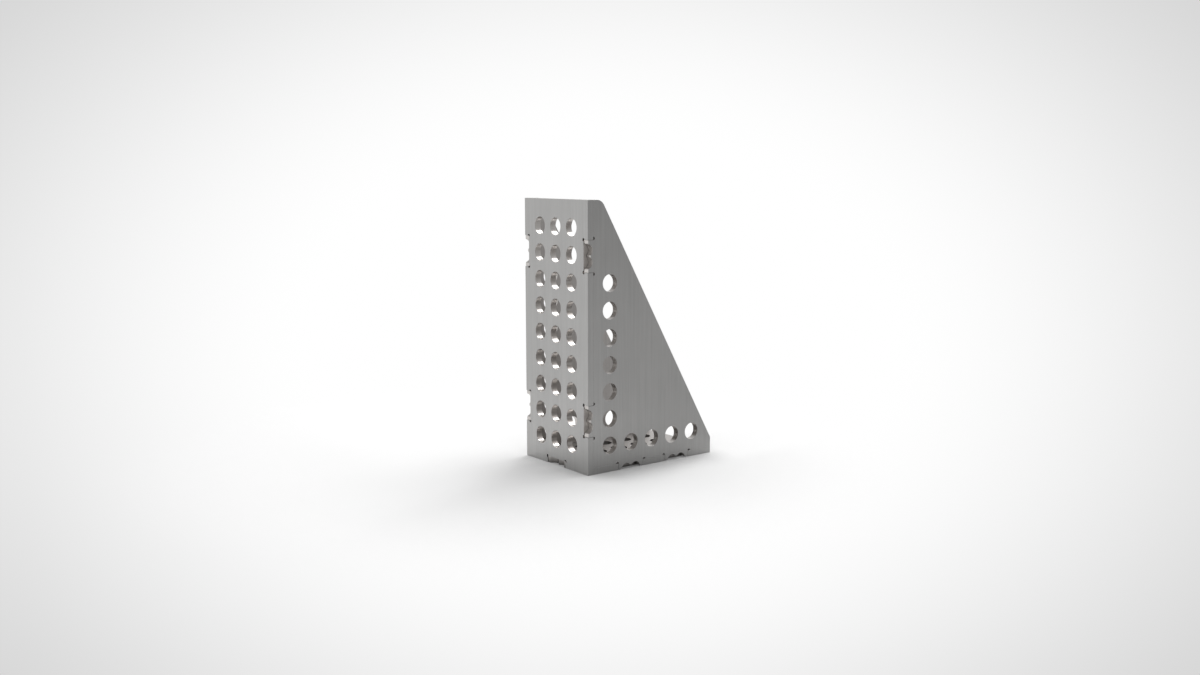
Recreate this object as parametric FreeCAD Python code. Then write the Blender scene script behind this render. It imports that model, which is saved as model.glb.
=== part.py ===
import FreeCAD, Part
import math
import os

# Welding table block: an upright front plate, two triangular side plates and a base plate,
# cut from one thickness of plate and keyed together by tabs and notches along every seam.
# It is open at the top and at the sloped back. Every plate carries tooling holes on one grid.
# Millimetres. The origin is on the table, at the middle of the footprint. The front faces -Y.

# Overall size
width = 101.6
depth = 152.4
height = 254.0
plate = 6.35

# Side plate outline
top_flat = 15.875  # level top, from the front face to where the slope would meet it
rear_lip = 15.875  # upright rear edge, from the table to the slope
shoulder_radius = 9.5  # round where the level top turns into the slope

# Tooling holes
hole_diameter = 16.5
pitch = 25.4
grid_inset = 25.4  # from the table or the front face to the first row of holes
edge_inset = 17.2  # least distance from a hole's centre to any other edge of its plate

# Tab joints
notch_length = 29.8
notch_inset_ends = 50.8  # from the front plate's bottom and top to the middle of its side notches
notch_inset_base = 44.45  # from the base plate's front and rear edge to the middle of its side notches
side_gap = 0.25  # clearance at each end of a tab in its notch
back_gap = 0.2  # clearance between a tab's inner face and the bottom of its notch
tip_gap = 0.55  # how far a tab's end stays below the face that it comes out at
relief_radius = 1.5  # cutter relief in a notch's corners and beside a tab's root
relief_sides = 8  # the reliefs are small, so eight flats stand for their round

# Weld pocket in a tab's end: two round lobes with a short nib between them
land = 2.3  # flat left at each end of a tab
lobe_radius = 5.75
lobe_web = 0.95  # metal left between a lobe and the tab's root
lobe_lip_radius = 1.6  # round where a lobe runs out to the land
nib_height = 2.1  # from the bottom of the lobes

tab_half = notch_length / 2 - side_gap
same_place = 0.001
outward = {"left": (-1, 0), "right": (1, 0), "down": (0, -1)}


def vec(u, v):
    return FreeCAD.Vector(u, v, 0)


def prism(edges):
    """A flat pattern, given by its edges in any order, at the plate's thickness."""
    wire = Part.Wire(Part.sortEdges(edges)[0])
    return Part.Face(wire).extrude(FreeCAD.Vector(0, 0, plate))


def polygon(points):
    """Straight edges through the points, and back to the first."""
    ends = points[1:] + points[:1]
    return [Part.LineSegment(a, b).toShape() for a, b in zip(points, ends)]


def disc(centre, radius):
    return Part.makeCylinder(radius, plate, centre)


def relief(centre):
    """A cutter relief, its flats touching the round that they stand for."""
    reach = relief_radius / math.cos(math.pi / relief_sides)
    corners = []
    for i in range(relief_sides):
        angle = (2 * i + 1) * math.pi / relief_sides
        corners.append(centre + vec(math.cos(angle), math.sin(angle)) * reach)
    return prism(polygon(corners))


def arc(centre, start, end):
    """The shorter arc from start to end about the centre."""
    middle = (start - centre).normalize() + (end - centre).normalize()
    middle.normalize()
    return Part.Arc(start, centre + middle * (start - centre).Length, end).toShape()


def half_tab_end(at, side):
    """Edges of one half of a tab, from its root to the nib, and the end of the nib."""
    lobe_depth = plate - lobe_web - lobe_radius
    lip_depth = tip_gap + lobe_lip_radius
    lip_across = tab_half - land
    spread = lobe_radius + lobe_lip_radius
    lobe_across = lip_across - math.sqrt(spread**2 - (lip_depth - lobe_depth) ** 2)
    chord = math.sqrt(lobe_radius**2 - (lobe_radius - nib_height) ** 2)
    nib_half = max(lobe_across - chord, 0)
    nib_depth = lobe_depth + math.sqrt(lobe_radius**2 - (lobe_across - nib_half) ** 2)

    lobe = at(side * lobe_across, lobe_depth)
    lip = at(side * lip_across, lip_depth)
    root = at(side * tab_half, plate)
    corner = at(side * tab_half, tip_gap)
    lip_start = at(side * lip_across, tip_gap)
    touch = lobe + (lip - lobe) * (lobe_radius / spread)
    nib = at(side * nib_half, nib_depth)
    edges = [
        Part.LineSegment(root, corner).toShape(),
        Part.LineSegment(corner, lip_start).toShape(),
        arc(lip, lip_start, touch),
        arc(lobe, touch, nib),
    ]
    return edges, root, nib


def joint_frame(middle, direction):
    """Places along a joint and in from the outer face, as points of the flat pattern."""
    out = vec(*outward[direction])
    along = vec(-out.y, out.x)
    return lambda across, inward: middle + along * across - out * inward


def add_tab(pattern, middle, direction):
    """A tab that reaches out to the face at middle, with its weld pocket and root reliefs."""
    at = joint_frame(middle, direction)
    left_edges, left_root, left_nib = half_tab_end(at, -1)
    right_edges, right_root, right_nib = half_tab_end(at, 1)
    edges = left_edges + right_edges + [Part.LineSegment(left_root, right_root).toShape()]
    if (left_nib - right_nib).Length > same_place:
        edges.append(Part.LineSegment(left_nib, right_nib).toShape())
    pattern = pattern.fuse(prism(edges))
    for side in (-1, 1):
        pattern = pattern.cut(relief(at(side * (tab_half + relief_radius), plate)))
    return pattern


def cut_notch(pattern, middle, direction):
    """A notch as deep as a plate and its clearance, with reliefs in its inner corners."""
    at = joint_frame(middle, direction)
    half = notch_length / 2
    bottom = plate + back_gap
    corners = [at(-half, 0), at(half, 0), at(half, bottom), at(-half, bottom)]
    pattern = pattern.cut(prism(polygon(corners)))
    for side in (-1, 1):
        pattern = pattern.cut(relief(at(side * half, bottom)))
    return pattern


def drill(pattern, centres):
    for centre in centres:
        pattern = pattern.cut(disc(centre, hole_diameter / 2))
    return pattern


def steps(first, last):
    """Places one pitch apart, from first up to last."""
    count = math.floor((last - first) / pitch + same_place) + 1
    return [first + i * pitch for i in range(count)]


def columns():
    """Places of the hole columns across the width, evenly about the middle."""
    side_count = math.floor((width / 2 - edge_inset) / pitch + same_place)
    return [i * pitch for i in range(-side_count, side_count + 1)]


def joint_places_up():
    """Heights of the joints between the front plate and a side plate."""
    return [notch_inset_ends, height - notch_inset_ends]


def joint_places_back():
    """Distances behind the front face of the joints between the base and a side plate."""
    return [plate + notch_inset_base, depth - notch_inset_base]


def front_pattern():
    """Front plate: u across the width, v up from the table."""
    half = width / 2
    pattern = prism(polygon([vec(-half, 0), vec(half, 0), vec(half, height), vec(-half, height)]))
    for v in joint_places_up():
        pattern = cut_notch(pattern, vec(-half, v), "left")
        pattern = cut_notch(pattern, vec(half, v), "right")
    pattern = cut_notch(pattern, vec(0, 0), "down")
    rows = steps(grid_inset, height - edge_inset)
    return drill(pattern, [vec(u, v) for u in columns() for v in rows])


def base_pattern():
    """Base plate: u across the width, v back from the front face."""
    half = width / 2
    corners = [vec(-half, plate), vec(half, plate), vec(half, depth), vec(-half, depth)]
    pattern = prism(polygon(corners))
    for v in joint_places_back():
        pattern = cut_notch(pattern, vec(-half, v), "left")
        pattern = cut_notch(pattern, vec(half, v), "right")
    pattern = add_tab(pattern, vec(0, 0), "down")
    rows = steps(grid_inset, depth - edge_inset)
    return drill(pattern, [vec(u, v) for u in columns() for v in rows])


def side_outline():
    """Outline of a side plate without its tabs, with the shoulder as an arc."""
    shoulder = vec(top_flat, height)
    heel = vec(depth, rear_lip)
    slope = (heel - shoulder).normalize()
    level = vec(-1, 0)
    turn = math.pi - level.getAngle(slope)
    reach = shoulder_radius * math.tan(turn / 2)
    arc_start = shoulder + level * reach
    arc_end = shoulder + slope * reach
    centre = arc_start - vec(0, shoulder_radius)
    points = [arc_end, heel, vec(depth, plate), vec(plate, plate), vec(plate, height), arc_start]
    straight = [Part.LineSegment(a, b).toShape() for a, b in zip(points, points[1:])]
    return straight + [arc(centre, arc_start, arc_end)]


def clear_of_slope(centre):
    """Whether a hole's centre lies far enough inside the sloped edge."""
    shoulder = vec(top_flat, height)
    heel = vec(depth, rear_lip)
    return centre.distanceToLine(shoulder, heel - shoulder) >= edge_inset


def side_holes():
    """An L of holes: one column behind the front face and one row above the base."""
    column = [vec(grid_inset, v) for v in steps(grid_inset, height - edge_inset)]
    row = [vec(u, grid_inset) for u in steps(grid_inset + pitch, depth - edge_inset)]
    return [centre for centre in column + row if clear_of_slope(centre)]


def side_pattern():
    """Side plate: u back from the front face, v up from the table."""
    pattern = prism(side_outline())
    for v in joint_places_up():
        pattern = add_tab(pattern, vec(0, v), "left")
    for u in joint_places_back():
        pattern = add_tab(pattern, vec(u, 0), "down")
    return drill(pattern, side_holes())


def stand(pattern, place, u_axis, v_axis):
    """Carries a flat pattern to its place, u and v along the given axes, thickness across them."""
    rotation = FreeCAD.Rotation(u_axis, v_axis, u_axis.cross(v_axis), "XYZ")
    placed = pattern.removeSplitter()
    placed.Placement = FreeCAD.Placement(place, rotation)
    return placed


def build():
    x = FreeCAD.Vector(1, 0, 0)
    y = FreeCAD.Vector(0, 1, 0)
    z = FreeCAD.Vector(0, 0, 1)
    front = -depth / 2
    side = side_pattern()
    return {
        "front_plate": stand(front_pattern(), FreeCAD.Vector(0, front + plate, 0), x, z),
        "base_plate": stand(base_pattern(), FreeCAD.Vector(0, front, 0), x, y),
        "left_side_plate": stand(side, FreeCAD.Vector(-width / 2, front, 0), y, z),
        "right_side_plate": stand(side, FreeCAD.Vector(width / 2 - plate, front, 0), y, z),
    }


os.makedirs("parts", exist_ok=True)
for name, shape in build().items():
    solid = shape.Solids[0]
    solid.exportStep("parts/" + name + ".step")
    box = solid.BoundBox
    print(name, "valid", shape.isValid(), "solids", len(shape.Solids), "faces", len(solid.Faces))
    print("  x", round(box.XMin, 3), round(box.XMax, 3), "y", round(box.YMin, 3), round(box.YMax, 3))
    print("  z", round(box.ZMin, 3), round(box.ZMax, 3), "volume", round(solid.Volume, 1))
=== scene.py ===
import math

import bmesh
import bpy
import numpy as np
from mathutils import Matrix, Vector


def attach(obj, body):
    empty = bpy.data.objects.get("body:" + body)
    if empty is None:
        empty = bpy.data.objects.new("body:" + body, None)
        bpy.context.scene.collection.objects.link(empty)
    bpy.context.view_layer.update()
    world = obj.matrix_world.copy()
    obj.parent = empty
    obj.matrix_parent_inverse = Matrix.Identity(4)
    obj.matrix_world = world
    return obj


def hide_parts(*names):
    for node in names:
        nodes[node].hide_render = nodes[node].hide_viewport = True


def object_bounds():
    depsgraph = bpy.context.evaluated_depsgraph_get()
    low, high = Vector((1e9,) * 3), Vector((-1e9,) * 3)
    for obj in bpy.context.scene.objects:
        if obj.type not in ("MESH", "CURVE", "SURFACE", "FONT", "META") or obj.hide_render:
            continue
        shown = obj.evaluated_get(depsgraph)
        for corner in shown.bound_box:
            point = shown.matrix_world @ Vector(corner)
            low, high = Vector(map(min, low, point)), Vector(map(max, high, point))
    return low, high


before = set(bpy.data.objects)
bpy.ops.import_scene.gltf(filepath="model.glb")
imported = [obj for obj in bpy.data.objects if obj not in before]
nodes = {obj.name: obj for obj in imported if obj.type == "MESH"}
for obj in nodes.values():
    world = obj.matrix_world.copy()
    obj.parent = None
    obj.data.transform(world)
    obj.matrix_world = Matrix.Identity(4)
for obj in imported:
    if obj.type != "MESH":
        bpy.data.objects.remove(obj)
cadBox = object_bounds()
print("frame loaded:", ", ".join(sorted(nodes)))

# the block stands on z = 0 about the middle of its footprint, and its front looks along -Y
frontPlane = cadBox[0][1]
halfWidth = cadBox[1][0]
halfDepth = cadBox[1][1]

camera = {
    "place": (0.8961, -0.7051, 0.2805),
    "turn": 52.752,  # degrees about Z, from looking along +Y
    "down": 8.153,  # degrees below level
    "lens": 35.07,  # millimetres, and so is the sensor's width
    "sensor": 36,
}


def addThing(name, data):
    thing = bpy.data.objects.new(name, data)
    bpy.context.scene.collection.objects.link(thing)
    return thing


def makeCamera():
    lens = bpy.data.cameras.new("photoCamera")
    lens.lens = camera["lens"]
    lens.sensor_width = camera["sensor"]
    view = addThing("photoCamera", lens)
    view.location = camera["place"]
    view.rotation_euler = (math.radians(90 - camera["down"]), 0, math.radians(camera["turn"]))
    bpy.context.scene.camera = view


# node helpers, used by every material and by the world

def emptyTree(owner):
    # the node tree of a new material or world, with its first nodes taken out
    owner.use_nodes = True
    owner.node_tree.nodes.clear()
    return owner.node_tree


def newNode(tree, kind, **settings):
    node = tree.nodes.new(kind)
    for key, value in settings.items():
        setattr(node, key, value)
    return node


def feed(tree, socket, value):
    # a number or a colour is set on the socket, an output is linked to it
    if isinstance(value, bpy.types.NodeSocket):
        tree.links.new(value, socket)
    else:
        socket.default_value = value


def endTree(tree, kind, surface):
    # the output node, with the finished surface linked to it
    feed(tree, newNode(tree, kind).inputs["Surface"], surface)


def doMath(tree, operation, a, b=0.0):
    node = newNode(tree, "ShaderNodeMath", operation=operation)
    feed(tree, node.inputs[0], a)
    feed(tree, node.inputs[1], b)
    return node.outputs[0]


def times(tree, *values):
    product = values[0]
    for value in values[1:]:
        product = doMath(tree, "MULTIPLY", product, value)
    return product


def without(tree, share):
    # what a share leaves of 1
    return doMath(tree, "SUBTRACT", 1.0, share)


def hypotenuse(tree, a, b):
    # sqrt(a^2 + b^2)
    return doMath(tree, "SQRT", doMath(tree, "ADD", times(tree, a, a), times(tree, b, b)))


def ramp(tree, value, low, high):
    # 0 below low and 1 above high, with soft ends
    node = newNode(tree, "ShaderNodeMapRange", interpolation_type="SMOOTHSTEP")
    feed(tree, node.inputs["Value"], value)
    node.inputs["From Min"].default_value = low
    node.inputs["From Max"].default_value = high
    return node.outputs["Result"]


def within(tree, value, limits):
    # grows from 0 to 1 between the first two limits and back to 0 between the last two
    grown = ramp(tree, value, limits[0], limits[1])
    return doMath(tree, "SUBTRACT", grown, ramp(tree, value, limits[2], limits[3]))


def blend(tree, kind, share, a, b):
    # a where the share is 0 and b where it is 1
    node = newNode(tree, "ShaderNodeMix", data_type=kind)
    feed(tree, node.inputs["Factor"], share)
    feed(tree, node.inputs["A"], a)
    feed(tree, node.inputs["B"], b)
    return node.outputs["Result"]


def blendNumber(tree, share, a, b):
    return blend(tree, "FLOAT", share, a, b)


def blendColour(tree, share, a, b):
    return blend(tree, "RGBA", share, a, b)


def tinted(tree, colour, amount):
    node = newNode(tree, "ShaderNodeVectorMath", operation="SCALE")
    node.inputs[0].default_value = colour
    feed(tree, node.inputs["Scale"], amount)
    return node.outputs[0]


def split(tree, vector):
    node = newNode(tree, "ShaderNodeSeparateXYZ")
    feed(tree, node.inputs[0], vector)
    return node.outputs


def shownRay(tree):
    # 1 for a ray that the viewer, a reflection or a clear material sees
    path = newNode(tree, "ShaderNodeLightPath")
    seen = doMath(tree, "MAXIMUM", path.outputs["Is Camera Ray"], path.outputs["Is Glossy Ray"])
    return doMath(tree, "MAXIMUM", seen, path.outputs["Is Transmission Ray"])


backdrop = {
    "centre": 1.0,  # the bright patch behind the block
    "edge": 0.56,  # all the rest of the studio
    "fill": 0.80,  # what the floor is lit with
    "patchAcross": 0.378,  # half the patch's width, as the sine of its angle
    "patchUp": 0.270,  # and half its height
    "fallStart": 0.62,  # where the patch starts to fade and where it ends, in those halves
    "fallEnd": 1.95,
    # more light that the front face mirrors, and more from above and behind the block,
    # with the cosines of the angle where each begins and where it is full
    "glows": [
        {"towards": (-0.79, -0.60, -0.14), "light": 0.46, "start": 0.67, "full": 1.0},
        {"towards": (-0.22, 0.55, 0.80), "light": 1.30, "start": 0.84, "full": 0.96},
    ],
}


def makeBackdrop():
    # brightness falls with the ellipse sqrt((across / patchAcross)^2 + (up / patchUp)^2)
    world = bpy.data.worlds.new("studio")
    bpy.context.scene.world = world
    tree = emptyTree(world)
    ray = newNode(tree, "ShaderNodeTexCoord").outputs["Generated"]
    turned = newNode(tree, "ShaderNodeVectorRotate", rotation_type="EULER_XYZ", invert=True)
    feed(tree, turned.inputs["Vector"], ray)
    feed(tree, turned.inputs["Rotation"], (-math.radians(camera["down"]), 0, math.radians(camera["turn"])))
    parts = split(tree, turned.outputs[0])
    across = doMath(tree, "DIVIDE", parts["X"], backdrop["patchAcross"])
    up = doMath(tree, "DIVIDE", parts["Z"], backdrop["patchUp"])
    faded = ramp(tree, hypotenuse(tree, across, up), backdrop["fallStart"], backdrop["fallEnd"])
    isAhead = doMath(tree, "GREATER_THAN", parts["Y"], 0.0)
    patch = times(tree, without(tree, faded), isAhead)
    shown = blendNumber(tree, patch, backdrop["edge"], backdrop["centre"])
    for glow in backdrop["glows"]:
        towards = newNode(tree, "ShaderNodeVectorMath", operation="DOT_PRODUCT")
        feed(tree, towards.inputs[0], ray)
        towards.inputs[1].default_value = glow["towards"]
        share = ramp(tree, towards.outputs["Value"], glow["start"], glow["full"])
        shown = doMath(tree, "ADD", shown, times(tree, share, glow["light"]))
    sky = newNode(tree, "ShaderNodeBackground")
    sky.inputs["Color"].default_value = (1, 1, 1, 1)
    feed(tree, sky.inputs["Strength"], blendNumber(tree, shownRay(tree), backdrop["fill"], shown))
    endTree(tree, "ShaderNodeOutputWorld", sky.outputs[0])


floor = {
    "radius": 3.0,
    "rimPoints": 96,
    "drop": 0.0001,  # just under the block's feet
    "colour": 0.79,
    "lift": 0.05,  # added where it is seen, so that bare floor reads as the backdrop's white
    "middle": (-0.08, -0.08),  # of the fade, towards the shadow
    "fadeStart": 0.13,  # distance from there where floor begins to give way to backdrop
    "fadeEnd": 0.40,
    "contactReach": 0.050,  # painted shadow: the block's foot darkens the floor this far out
    "contactAhead": 0.06,  # how deep that painted shadow is, ahead of the front plate and beside the right side plate
    "contactRight": 0.40,
    "contactEnds": 0.026,  # beside that plate, the painted shadow stops this far short of the corners
    "leftPaintedLight": 0.075,  # painted light: the floor on the block's left is lighter
    "aheadFrom": -0.055,  # where left gives way to ahead, at the front plate
    "aheadTo": 0.0,
    "aheadSkew": 0.45,  # and how far that line moves right for each step out from the plate
    "leftEases": (0.08, 0.18),  # from here to there, out from the front plate, the painted light drops
    "leftKept": 0.60,  # to this share
    "paintedShadowPatches": [  # painted shadow: change of tone, and between which places it grows and ends: left to right, and outwards
        (-0.050, (0.000, 0.070, 0.110, 0.260), (0.045, 0.110, 0.190, 0.300)),  # painted shadow ahead, beyond the contact shadow
        (-0.085, (0.070, 0.100, 0.130, 0.400), (-0.320, -0.170, -0.085, 0.060)),  # painted shadow by the rear corner
    ],
    "under": 0.75,  # painted shade of the floor that is seen through the base's holes
    "underInset": 0.0064,  # it starts a plate's thickness inside the outline
}


def contactShadowPainted(tree, spot, isAhead):
    # painted shadow: darker near the block's foot, by the distance sqrt(beside^2 + beyond^2) from its
    # outline
    isRight = ramp(tree, spot["X"], 0.0, halfWidth)
    beside = doMath(tree, "SUBTRACT", doMath(tree, "ABSOLUTE", spot["X"]), halfWidth)
    beyond = doMath(tree, "SUBTRACT", doMath(tree, "ABSOLUTE", spot["Y"]), halfDepth)
    beyond = doMath(tree, "ADD", beyond, times(tree, isRight, floor["contactEnds"]))
    apart = hypotenuse(tree, doMath(tree, "MAXIMUM", 0.0, beside), doMath(tree, "MAXIMUM", 0.0, beyond))
    near = without(tree, ramp(tree, apart, 0.0, floor["contactReach"]))
    depth = doMath(tree, "ADD", times(tree, isAhead, floor["contactAhead"]),
                   times(tree, isRight, floor["contactRight"] - floor["contactAhead"]))
    return without(tree, times(tree, near, depth))


def leftLightPainted(tree, out, isAhead):
    # painted light: lighter left of the block, and less so further out from its front plate
    kept = without(tree, times(tree, ramp(tree, out, *floor["leftEases"]), 1 - floor["leftKept"]))
    return doMath(tree, "ADD", times(tree, without(tree, isAhead), floor["leftPaintedLight"], kept), 1.0)


def underShadePainted(tree, spot):
    # painted shade: dark under the block itself
    insides = []
    for axis, half in (("X", halfWidth), ("Y", halfDepth)):
        fromMiddle = doMath(tree, "ABSOLUTE", spot[axis])
        insides.append(doMath(tree, "LESS_THAN", fromMiddle, half - floor["underInset"]))
    return without(tree, times(tree, *insides, floor["under"]))


def floorLightAndShadePainted(tree, place):
    # how much of the floor's colour the painted shadow and painted light leave beside, before and under
    # the block
    spot = split(tree, place)
    out = doMath(tree, "SUBTRACT", frontPlane, spot["Y"])  # distance out from the front plate
    skew = times(tree, doMath(tree, "MAXIMUM", 0.0, out), floor["aheadSkew"])
    isAhead = ramp(tree, doMath(tree, "SUBTRACT", spot["X"], skew), floor["aheadFrom"], floor["aheadTo"])
    tones = [contactShadowPainted(tree, spot, isAhead), leftLightPainted(tree, out, isAhead), underShadePainted(tree, spot)]
    # patches of painted shadow on the floor
    for change, acrossLimits, outLimits in floor["paintedShadowPatches"]:
        patch = times(tree, within(tree, spot["X"], acrossLimits), within(tree, out, outLimits))
        tones.append(doMath(tree, "ADD", times(tree, patch, change), 1.0))
    return times(tree, *tones)


def makeFloorPaint():
    paint = bpy.data.materials.new("paleFloor")
    tree = emptyTree(paint)
    place = newNode(tree, "ShaderNodeTexCoord").outputs["Object"]
    matt = newNode(tree, "ShaderNodeBsdfDiffuse")
    # the floor's colour carries painted shadow and painted light around and under the block
    feed(tree, matt.inputs["Color"], tinted(tree, (floor["colour"],) * 3, floorLightAndShadePainted(tree, place)))
    glow = newNode(tree, "ShaderNodeEmission")
    feed(tree, glow.inputs["Strength"], times(tree, shownRay(tree), floor["lift"]))
    both = newNode(tree, "ShaderNodeAddShader")
    feed(tree, both.inputs[0], matt.outputs[0])
    feed(tree, both.inputs[1], glow.outputs[0])

    # each point is floor or gone, as a fine grain, and more are gone further out
    distance = newNode(tree, "ShaderNodeVectorMath", operation="DISTANCE")
    feed(tree, distance.inputs[0], place)
    distance.inputs[1].default_value = floor["middle"] + (0,)
    share = ramp(tree, distance.outputs["Value"], floor["fadeStart"], floor["fadeEnd"])
    speckle = newNode(tree, "ShaderNodeTexWhiteNoise", noise_dimensions="3D")
    feed(tree, speckle.inputs["Vector"], place)
    gone = newNode(tree, "ShaderNodeBsdfTransparent")
    fade = newNode(tree, "ShaderNodeMixShader")
    feed(tree, fade.inputs[0], doMath(tree, "LESS_THAN", speckle.outputs["Value"], share))
    feed(tree, fade.inputs[1], both.outputs[0])
    feed(tree, fade.inputs[2], gone.outputs[0])
    endTree(tree, "ShaderNodeOutputMaterial", fade.outputs[0])
    return paint


def makeFloor():
    # a disc: rim points at (cos a, sin a) times the radius
    angles = np.linspace(0, 2 * math.pi, floor["rimPoints"], endpoint=False)
    rim = np.stack([np.cos(angles), np.sin(angles), np.zeros_like(angles)], axis=1) * floor["radius"]
    rim[:, 2] = -floor["drop"]
    mesh = bpy.data.meshes.new("floor")
    mesh.from_pydata(rim.tolist(), [], [list(range(len(rim)))])
    mesh.materials.append(makeFloorPaint())
    addThing("floor", mesh)


lamp = {
    "place": (-0.22, 0.70, 1.60),  # above and behind the block
    "aim": (0, 0, 0.05),
    "size": 1.1,  # of its square face
    "power": 15,
}


def makeLamp():
    light = bpy.data.lights.new("overheadBox", "AREA")
    light.shape = "SQUARE"
    light.size = lamp["size"]
    light.energy = lamp["power"]
    thing = addThing("overheadBox", light)
    x, y, z = np.array(lamp["aim"], float) - lamp["place"]
    thing.location = lamp["place"]
    thing.rotation_euler = (math.atan2(math.hypot(x, y), -z), 0, math.atan2(-x, y))
    thing.visible_camera = False


grain = {
    "streakWidth": 0.0006,  # metres, of the fine grain
    "streakLength": 0.050,
    "streakContrast": 0.12,
    "streakDepth": 0.000012,
    "bandWidth": 0.0030,  # and of the wider strokes that show from a step away
    "bandLength": 0.110,
    "bandContrast": 0.07,
    "mottleSize": 0.035,
    "mottleContrast": 0.05,
    "lineWidth": 0.00045,  # lines that the cutter leaves across the thickness
    "lineLength": 0.020,
    "lineContrast": 0.10,
    "lineDepth": 0.000006,
    "fineDetail": 3.0,  # finer noise laid over the streaks and lines, and over the bands and mottle
    "wideDetail": 2.0,
}


def stretchedNoise(tree, place, sizes, detail):
    # noise whose grains are as long along X, Y and Z as sizes says
    spread = newNode(tree, "ShaderNodeMapping")
    feed(tree, spread.inputs["Vector"], place)
    spread.inputs["Scale"].default_value = [1 / size for size in sizes]
    noise = newNode(tree, "ShaderNodeTexNoise")
    noise.inputs["Scale"].default_value = 1.0
    noise.inputs["Detail"].default_value = detail
    feed(tree, noise.inputs["Vector"], spread.outputs[0])
    return noise.outputs["Fac"]


def swing(tree, noise, contrast):
    # 1 plus or minus the contrast, by the noise
    return doMath(tree, "ADD", times(tree, doMath(tree, "SUBTRACT", noise, 0.5), contrast * 2), 1.0)


def streaks(tree, place, isLevel):
    # the grain stands upright, and runs front to back where a face looks up or down
    width, length = grain["streakWidth"], grain["streakLength"]
    upright = stretchedNoise(tree, place, (width, width, length), grain["fineDetail"])
    lying = stretchedNoise(tree, place, (width, length, width), grain["fineDetail"])
    return blendNumber(tree, isLevel, upright, lying)


def cutterLines(tree, place, thicknessAxis):
    sizes = [grain["lineWidth"]] * 3
    sizes[thicknessAxis] = grain["lineLength"]
    return stretchedNoise(tree, place, sizes, grain["fineDetail"])


def raised(tree, height, depth, under=None):
    # the normal of a surface that the height raises by up to the depth, on top of another such normal
    node = newNode(tree, "ShaderNodeBump")
    node.inputs["Strength"].default_value = 1.0
    node.inputs["Distance"].default_value = 1.0
    feed(tree, node.inputs["Height"], times(tree, height, depth))
    if under is not None:
        feed(tree, node.inputs["Normal"], under)
    return node.outputs[0]


steel = {
    "face": (0.405, 0.402, 0.396),  # rolled and brushed faces, linear colour
    "inside": (0.430, 0.412, 0.398),  # the plates' inner faces keep a warmer mill finish
    "cut": (0.545, 0.522, 0.503),  # cut walls, a little warmer too
    "edge": (0.480, 0.478, 0.472),  # painted highlight along the rounded edges
    "faceRoughness": 0.40,
    "cutRoughness": 0.30,
    "roughnessSwing": 0.08,
    "wallStart": 0.35,  # how far a surface faces along an axis, from square to it to along it
    "wallEnd": 0.85,
    "flushDepth": 0.0001,  # the block's outer planes are brushed across the seams, to this depth
    "sideFootPaintedShade": 0.30,  # painted shade: the sides are darker by the table
    "footHeight": 0.050,
    "footFront": -0.03,  # and less so from here to there along them
    "footRear": 0.08,
    "footEased": 0.65,
    "bodyPaintedLight": 1.06,  # painted light and shade: the sides' tone below the first height, and their top's above the second
    "topPaintedShade": 0.88,
    "toneStart": 0.12,
    "toneEnd": 0.27,
    "frontPaintedLight": 0.055,  # painted light: the front is brighter just above the table
    "glowRise": (0.0, 0.020),
    "glowFall": (0.045, 0.090),
    "cutFootPaintedShade": 0.66,  # painted shade: cut walls are darker this close to the table
    "cutFootHeight": 0.008,
}


def outerPlanes(tree, spot):
    # 1 on the block's sides, and on its front, where plate edges lie flush with the faces beside them
    fromMiddle = doMath(tree, "ABSOLUTE", spot["X"])
    isSide = doMath(tree, "GREATER_THAN", fromMiddle, halfWidth - steel["flushDepth"])
    isFront = doMath(tree, "LESS_THAN", spot["Y"], frontPlane + steel["flushDepth"])
    return isSide, isFront


def sideLightAndShadePainted(tree, spot):
    # painted shade on the sides by the table, and painted light and shade by height
    low = without(tree, ramp(tree, spot["Z"], 0.0, steel["footHeight"]))
    eased = times(tree, ramp(tree, spot["Y"], steel["footFront"], steel["footRear"]), steel["footEased"])
    foot = without(tree, times(tree, low, without(tree, eased), steel["sideFootPaintedShade"]))
    isTop = ramp(tree, spot["Z"], steel["toneStart"], steel["toneEnd"])
    return times(tree, foot, blendNumber(tree, isTop, steel["bodyPaintedLight"], steel["topPaintedShade"]))


def frontLightPainted(tree, spot):
    # painted light on the front, just above the table
    glow = within(tree, spot["Z"], steel["glowRise"] + steel["glowFall"])
    return doMath(tree, "ADD", times(tree, glow, steel["frontPaintedLight"]), 1.0)


def faceColour(tree, place, spot, brushed, isSide, isFront):
    # inner and outer faces share the grain, and the outer ones have the painted light and shade of the
    # side or the front
    width, length = grain["bandWidth"], grain["bandLength"]
    bands = stretchedNoise(tree, place, (width, width, length), grain["wideDetail"])
    mottle = stretchedNoise(tree, place, [grain["mottleSize"]] * 3, grain["wideDetail"])
    tone = times(
        tree,
        swing(tree, brushed, grain["streakContrast"]),
        swing(tree, mottle, grain["mottleContrast"]),
        swing(tree, bands, grain["bandContrast"]),
        blendNumber(tree, isSide, 1.0, sideLightAndShadePainted(tree, spot)),
        blendNumber(tree, isFront, 1.0, frontLightPainted(tree, spot)),
    )
    isOuter = doMath(tree, "MAXIMUM", isSide, isFront)
    inner = tinted(tree, steel["inside"], tone)
    return blendColour(tree, isOuter, inner, tinted(tree, steel["face"], tone))


def cutColour(tree, spot, lines):
    # painted shade on the cut walls close to the table
    low = without(tree, ramp(tree, spot["Z"], 0.0, steel["cutFootHeight"]))
    foot = without(tree, times(tree, low, steel["cutFootPaintedShade"]))
    return tinted(tree, steel["cut"], times(tree, swing(tree, lines, grain["lineContrast"]), foot))


seamPaintedShade = {
    "colour": (0.022, 0.020, 0.018),  # painted shade, near black, in seams and slits
    "reach": 0.0016,  # how near another surface has to be
    "full": 0.12,  # openness below which it is black and above which there is none
    "none": 0.36,
    "rear": -0.0695,  # it is painted in the front plate's seams, and there is none behind this plane
    "samples": 8,
}


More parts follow.
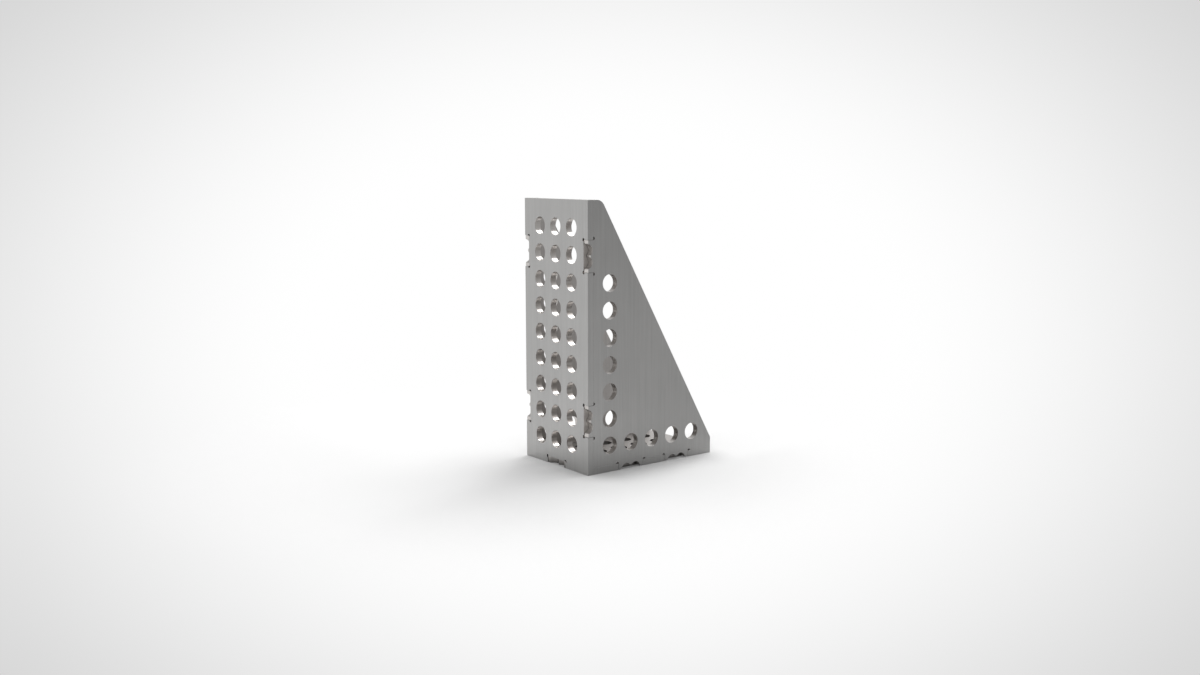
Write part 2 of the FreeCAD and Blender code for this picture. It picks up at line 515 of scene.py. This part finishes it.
def withSeamPaintedShade(tree, spot, colour):
    # painted shade: near black where another surface is close
    crevice = newNode(tree, "ShaderNodeAmbientOcclusion", samples=seamPaintedShade["samples"])
    crevice.inputs["Distance"].default_value = seamPaintedShade["reach"]
    isOpen = ramp(tree, crevice.outputs["AO"], seamPaintedShade["full"], seamPaintedShade["none"])
    isBehind = doMath(tree, "GREATER_THAN", spot["Y"], seamPaintedShade["rear"])
    return blendColour(tree, doMath(tree, "MAXIMUM", isOpen, isBehind), seamPaintedShade["colour"] + (1,), colour)


def makeSteel(name, thicknessAxis):
    material = bpy.data.materials.new(name)
    tree = emptyTree(material)
    where = newNode(tree, "ShaderNodeTexCoord")
    place = where.outputs["Object"]
    spot = split(tree, place)
    facing = split(tree, where.outputs["Normal"])
    along = doMath(tree, "ABSOLUTE", facing[thicknessAxis])
    upwards = doMath(tree, "ABSOLUTE", facing["Z"])
    isSide, isFront = outerPlanes(tree, spot)
    isOuter = doMath(tree, "MAXIMUM", isSide, isFront)
    isFace = doMath(tree, "MAXIMUM", ramp(tree, along, steel["wallStart"], steel["wallEnd"]), isOuter)
    isEdgeHighlight = times(tree, along, without(tree, along), 4.0)  # 1 half way from wall to face

    brushed = streaks(tree, place, ramp(tree, upwards, steel["wallStart"], steel["wallEnd"]))
    lines = cutterLines(tree, place, thicknessAxis)
    face = faceColour(tree, place, spot, brushed, isSide, isFront)
    colour = blendColour(tree, isFace, cutColour(tree, spot, lines), face)
    # painted highlight along the rounded edges
    colour = blendColour(tree, isEdgeHighlight, colour, steel["edge"] + (1,))
    rough = blendNumber(tree, isFace, steel["cutRoughness"], steel["faceRoughness"])
    rough = times(tree, rough, swing(tree, brushed, steel["roughnessSwing"]))
    grooves = raised(tree, times(tree, lines, without(tree, isFace)), grain["lineDepth"])
    ridges = raised(tree, times(tree, brushed, isFace), grain["streakDepth"], grooves)

    body = newNode(tree, "ShaderNodeBsdfPrincipled")
    body.inputs["Metallic"].default_value = 1.0
    # the colour with painted shade in the seams
    feed(tree, body.inputs["Base Color"], withSeamPaintedShade(tree, spot, colour))
    feed(tree, body.inputs["Roughness"], rough)
    feed(tree, body.inputs["Normal"], ridges)
    endTree(tree, "ShaderNodeOutputMaterial", body.outputs[0])
    return material


reliefShade = {
    "colour": (0.006, 0.0056, 0.0052),  # painted shade: near black on the walls of the small cutter reliefs
    "roughness": 0.80,
    "shine": 0.05,
    "grainSize": 0.0006,
    "contrast": 0.35,
}


def makeReliefShade():
    # painted shade for the reliefs' walls
    material = bpy.data.materials.new("paintedReliefShade")
    tree = emptyTree(material)
    place = newNode(tree, "ShaderNodeTexCoord").outputs["Object"]
    crust = stretchedNoise(tree, place, [reliefShade["grainSize"]] * 3, grain["fineDetail"])
    colour = tinted(tree, reliefShade["colour"], swing(tree, crust, reliefShade["contrast"]))
    body = newNode(tree, "ShaderNodeBsdfPrincipled")
    body.inputs["Roughness"].default_value = reliefShade["roughness"]
    body.inputs["Specular IOR Level"].default_value = reliefShade["shine"]
    feed(tree, body.inputs["Base Color"], colour)
    endTree(tree, "ShaderNodeOutputMaterial", body.outputs[0])
    return material


plates = {
    "edgeRound": 0.00012,  # burrs taken off every sharp edge but the reliefs'
    "edgeSteps": 2,
    "sharpAngle": 30,  # degrees: a turn above this is an edge, below it a curve
    "flatAngle": 0.5,  # degrees: faces that turn less than this are one face
    "samePlace": 1e-6,  # metres: points nearer than this are one point
    "reliefTurn": 45,  # degrees between the walls of a relief, which has eight, give or take the slack
    "reliefSlack": 0.6,
    "wallLevel": 0.1,  # a wall faces less than this along the thickness
    "steelSlot": 0,  # places of the two materials on a plate
    "reliefShadeSlot": 1,
    "thicknessAxis": {"front_plate": 1, "base_plate": 2, "left_side_plate": 0, "right_side_plate": 0},
}


def isWall(face, thicknessAxis):
    return abs(face.normal[thicknessAxis]) < plates["wallLevel"]


def isReliefShaded(face):
    return face.material_index == plates["reliefShadeSlot"]


def mergePlate(name, thicknessAxis):
    # a copy of the cut plate: flat faces whole, reliefs told apart, and the edges that get rounded marked
    shape = bmesh.new()
    shape.from_mesh(nodes[name].data)
    bmesh.ops.remove_doubles(shape, verts=shape.verts, dist=plates["samePlace"])
    bmesh.ops.dissolve_limit(
        shape, angle_limit=math.radians(plates["flatAngle"]), verts=shape.verts, edges=shape.edges)
    for face in shape.faces:
        face.smooth = True
        face.material_index = plates["steelSlot"]
    for edge in shape.edges:
        turn = math.degrees(edge.calc_face_angle(0))
        edge.smooth = turn < plates["sharpAngle"]
        walls = [face for face in edge.link_faces if isWall(face, thicknessAxis)]
        # relief walls get the painted shade material
        if len(walls) == 2 and abs(turn - plates["reliefTurn"]) < plates["reliefSlack"]:
            for wall in walls:
                wall.material_index = plates["reliefShadeSlot"]
    rounding = shape.edges.layers.float.new("bevel_weight_edge")
    for edge in shape.edges:
        byRelief = any(isReliefShaded(face) for face in edge.link_faces)
        edge[rounding] = 0.0 if edge.smooth or byRelief else 1.0
    print(name, "merged:", len(shape.verts), "points,", sum(map(isReliefShaded, shape.faces)), "relief walls")
    mesh = bpy.data.meshes.new(name + "Brushed")
    shape.to_mesh(mesh)
    shape.free()
    if "custom_normal" in mesh.attributes:  # the cut plate's own, which would hide the new ones
        mesh.attributes.remove(mesh.attributes["custom_normal"])
    return mesh


def finishPlate(name, thicknessAxis, reliefShadeSteel):
    mesh = mergePlate(name, thicknessAxis)
    piece = addThing(mesh.name, mesh)
    edges = piece.modifiers.new("edgeRound", "BEVEL")
    edges.width = plates["edgeRound"]
    edges.segments = plates["edgeSteps"]
    edges.limit_method = "WEIGHT"
    edges.harden_normals = True
    mesh.materials.clear()
    mesh.materials.append(makeSteel(name + "Steel", thicknessAxis))
    mesh.materials.append(reliefShadeSteel)
    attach(piece, "root")
    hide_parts(name)
    print(name, "finished")


makeCamera()
makeBackdrop()
makeFloor()
makeLamp()
print("camera, backdrop, floor and lamp ready")

# the reliefs' painted shade material
reliefShadeSteel = makeReliefShade()
for plateName, plateAxis in sorted(plates["thicknessAxis"].items()):
    finishPlate(plateName, plateAxis, reliefShadeSteel)

bpy.context.scene.view_settings.view_transform = "Standard"
